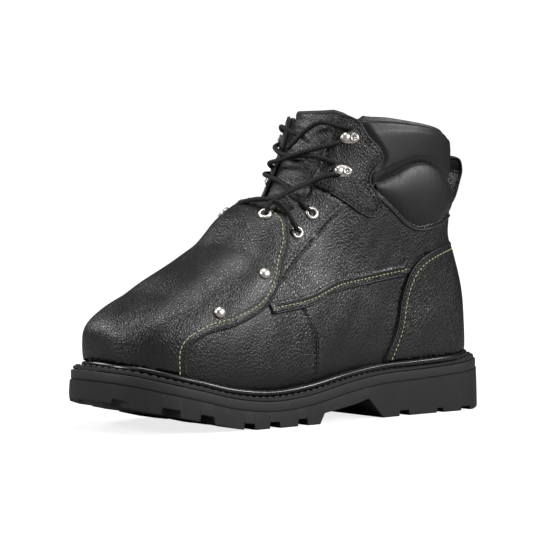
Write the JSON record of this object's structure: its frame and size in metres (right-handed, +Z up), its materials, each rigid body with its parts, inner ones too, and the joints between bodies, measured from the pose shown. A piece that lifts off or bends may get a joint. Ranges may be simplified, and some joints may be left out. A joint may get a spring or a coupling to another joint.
{
  "type": "metatarsal guard boot",
  "caption": "Black lace-up leather safety boot with a thick outer guard over toe and instep, padded collar and lugged sole, left foot.",
  "frame": {"origin": "on the floor under the middle of the boot's length and width, with the lace ends and pull loop counted in the box", "axes": "+Z up, -Y towards the toe, +X towards the outer side of the left foot"},
  "size_m": [0.1074, 0.3114, 0.1995],
  "materials": {
    "black_leather": "satin",
    "collar_leather": "satin",
    "sole_rubber": "matte",
    "bead_rubber": "gloss",
    "lining_fabric": "matte",
    "bright_steel": "polished",
    "lace_cord": "matte"
  },
  "bodies": {
    "root": {"outsole": "sole_rubber", "midsole": "sole_rubber", "welt": "black_leather", "welt_bead": "bead_rubber", "insole": "lining_fabric", "upper": "black_leather", "metatarsal_guard": "black_leather", "eyestay_lateral": "black_leather", "eyestay_medial": "black_leather", "hook_patch_lateral": "black_leather", "hook_patch_medial": "black_leather", "quarter_lateral": "black_leather", "quarter_medial": "black_leather", "heel_counter": "black_leather", "back_strip": "black_leather", "collar": "collar_leather", "ankle_pad": "collar_leather", "tongue": "black_leather", "eyelet_lateral_1": "bright_steel", "eyelet_lateral_2": "bright_steel", "eyelet_medial_1": "bright_steel", "eyelet_medial_2": "bright_steel", "guard_eyelet_lateral": "bright_steel", "guard_eyelet_medial": "bright_steel", "guard_rivet_lateral_1": "bright_steel", "guard_rivet_lateral_2": "bright_steel", "guard_rivet_medial_1": "bright_steel", "guard_rivet_medial_2": "bright_steel", "lace_hook_lateral_1": "bright_steel", "lace_hook_lateral_2": "bright_steel", "lace_hook_medial_1": "bright_steel", "lace_hook_medial_2": "bright_steel", "lace_cross_upper": "lace_cord", "lace_cross_lower": "lace_cord", "lace_at_guard": "lace_cord", "lace_end_lateral": "lace_cord", "lace_end_medial": "lace_cord", "pull_loop": "black_leather"}
  },
  "joints": []
}
